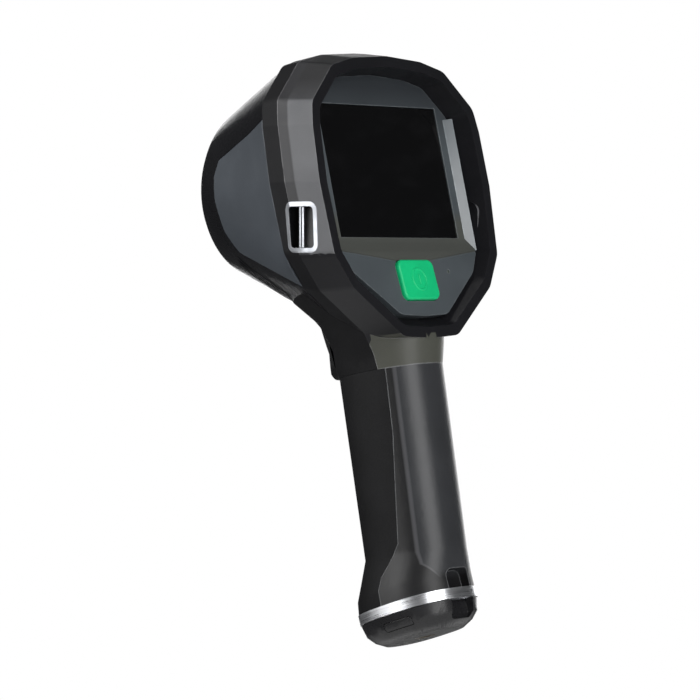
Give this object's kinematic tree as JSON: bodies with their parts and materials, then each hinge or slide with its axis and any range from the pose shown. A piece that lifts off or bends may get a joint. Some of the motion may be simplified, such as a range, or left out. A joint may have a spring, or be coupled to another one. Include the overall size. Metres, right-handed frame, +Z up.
{
  "type": "thermal imaging camera",
  "caption": "Pistol-grip thermal imaging camera with a hooded rear display, power button, strap anchors and a battery in the handle.",
  "frame": {"origin": "mouth of the tripod thread, in the middle of the foot's underside", "axes": "+Z up from the foot along the tripod thread, +Y forward the way the lens looks, +X to the user's right; the lens axis points 18 degrees above +Y"},
  "size_m": [0.125, 0.1088, 0.2707],
  "materials": {
    "hood_plastic": "satin moulded plastic",
    "bumper_rubber": "matte",
    "black_plastic": "smooth satin",
    "panel_plastic": "satin slate",
    "lens_glass": "coated infrared lens",
    "dark_metal": "black anodised",
    "seal_rubber": "matte",
    "bezel_plastic": "fine grain",
    "screen_glass": "dark cover glass",
    "circuit": "solder mask",
    "button_rubber": "matte silicone",
    "light_plastic": "clear light pipe",
    "bright_metal": "polished",
    "grip_plastic": "semi-gloss",
    "grip_rubber": "matte",
    "band_steel": "brushed round",
    "cap_plastic": "semi-gloss",
    "insert_brass": "turned",
    "battery_plastic": "matte",
    "liner_plastic": "matte",
    "contact_brass": "gold plated",
    "screw_steel": "zinc plated",
    "frame_metal": "cast",
    "core_metal": "machined"
  },
  "bodies": {
    "root": {"rear_housing": "hood_plastic", "hood_bumper": "bumper_rubber", "front_housing": "black_plastic", "side_panel_left": "panel_plastic", "side_panel_right": "panel_plastic", "neck_front": "black_plastic", "neck_pad": "bumper_rubber", "front_bumper": "bumper_rubber", "objective_lens": "lens_glass", "lens_barrel": "dark_metal", "rear_lens": "lens_glass", "lens_seal": "seal_rubber", "bezel_panel": "bezel_plastic", "screen_window": "screen_glass", "screen_gasket": "seal_rubber", "lcd_module": "circuit", "status_light": "light_plastic", "strap_bezel_left": "bright_metal", "strap_bezel_right": "bright_metal", "strap_pins": "bright_metal", "grip_rear_shell": "grip_plastic", "grip_front": "grip_rubber", "foot_band": "band_steel", "battery_tube": "liner_plastic", "battery_contacts": "contact_brass", "foot_screws": "screw_steel", "board_screws": "screw_steel", "main_board": "circuit", "switch_board": "circuit", "chassis": "frame_metal", "detector_core": "core_metal", "shutter_housing": "frame_metal", "shutter_motor": "core_metal"},
    "battery_pack": {"battery": "battery_plastic", "base_cap": "cap_plastic", "cap_seal": "seal_rubber", "tripod_insert": "insert_brass"},
    "latch_left": {"latch_left": "cap_plastic"},
    "latch_right": {"latch_right": "cap_plastic"},
    "power_button": {"power_button": "button_rubber"},
    "shutter_flag": {"shutter_flag": "dark_metal"}
  },
  "joints": [
    {"name": "battery_slide", "type": "slide", "parent": "root", "child": "battery_pack", "axis": [0, 0.1357, -0.9907], "range_m": [0, 0.12]},
    {"name": "latch_left_press", "type": "slide", "parent": "battery_pack", "child": "latch_left", "axis": [1, 0, 0], "range_m": [0, 0.0012], "stiffness_N_per_m": 600},
    {"name": "latch_right_press", "type": "slide", "parent": "battery_pack", "child": "latch_right", "axis": [-1, 0, 0], "range_m": [0, 0.0012], "stiffness_N_per_m": 600},
    {"name": "button_press", "type": "slide", "parent": "root", "child": "power_button", "axis": [0, 1, -0.0026], "range_m": [0, 0.001], "stiffness_N_per_m": 800},
    {"name": "shutter_swing", "type": "hinge", "parent": "root", "child": "shutter_flag", "pos_m": [0.019, 0.02129, 0.2231], "axis": [0, -0.9511, -0.309], "range_deg": [0, 65]}
  ]
}
